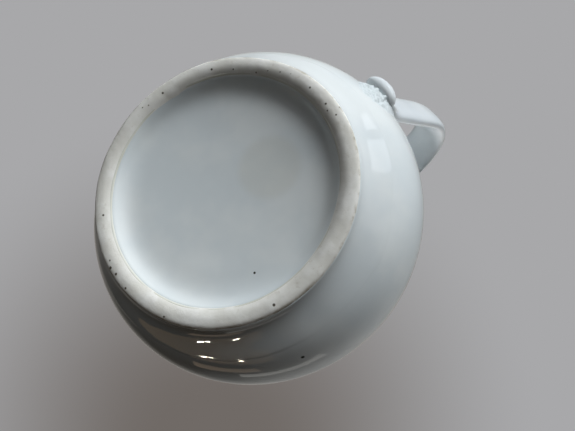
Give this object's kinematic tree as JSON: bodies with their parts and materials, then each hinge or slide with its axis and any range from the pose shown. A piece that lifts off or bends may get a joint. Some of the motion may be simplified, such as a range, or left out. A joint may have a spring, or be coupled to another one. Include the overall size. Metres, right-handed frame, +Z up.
{
  "type": "shaving mug",
  "caption": "Round-bellied glazed porcelain shaving mug on an unglazed foot ring, with a strap handle that ends in a rolled tip.",
  "frame": {"origin": "on the plane the foot ring stands on, under the middle of the whole outline with the handle included, so the mug's own axis is at x = -10 mm", "axes": "+Z up along the mug's axis, +X towards the handle, +Y across the handle"},
  "size_m": [0.11, 0.09, 0.092],
  "materials": {
    "white_glaze": "clear glossy glaze over white porcelain, faintly blue where it is thick",
    "handle_glaze": "the same clear glossy glaze on the hand-drawn strap",
    "pooled_glaze": "clear glaze pooled in the corners of the slip joints, a little bluer and uneven",
    "biscuit": "bare fired porcelain, matt and slightly gritty, with handling dirt and iron specks"
  },
  "bodies": {
    "root": {"mug_body": "white_glaze", "foot_ring": "biscuit", "foot_slip_joint": "pooled_glaze", "handle": "handle_glaze", "upper_handle_joint": "pooled_glaze", "lower_handle_joint": "pooled_glaze"}
  },
  "joints": []
}
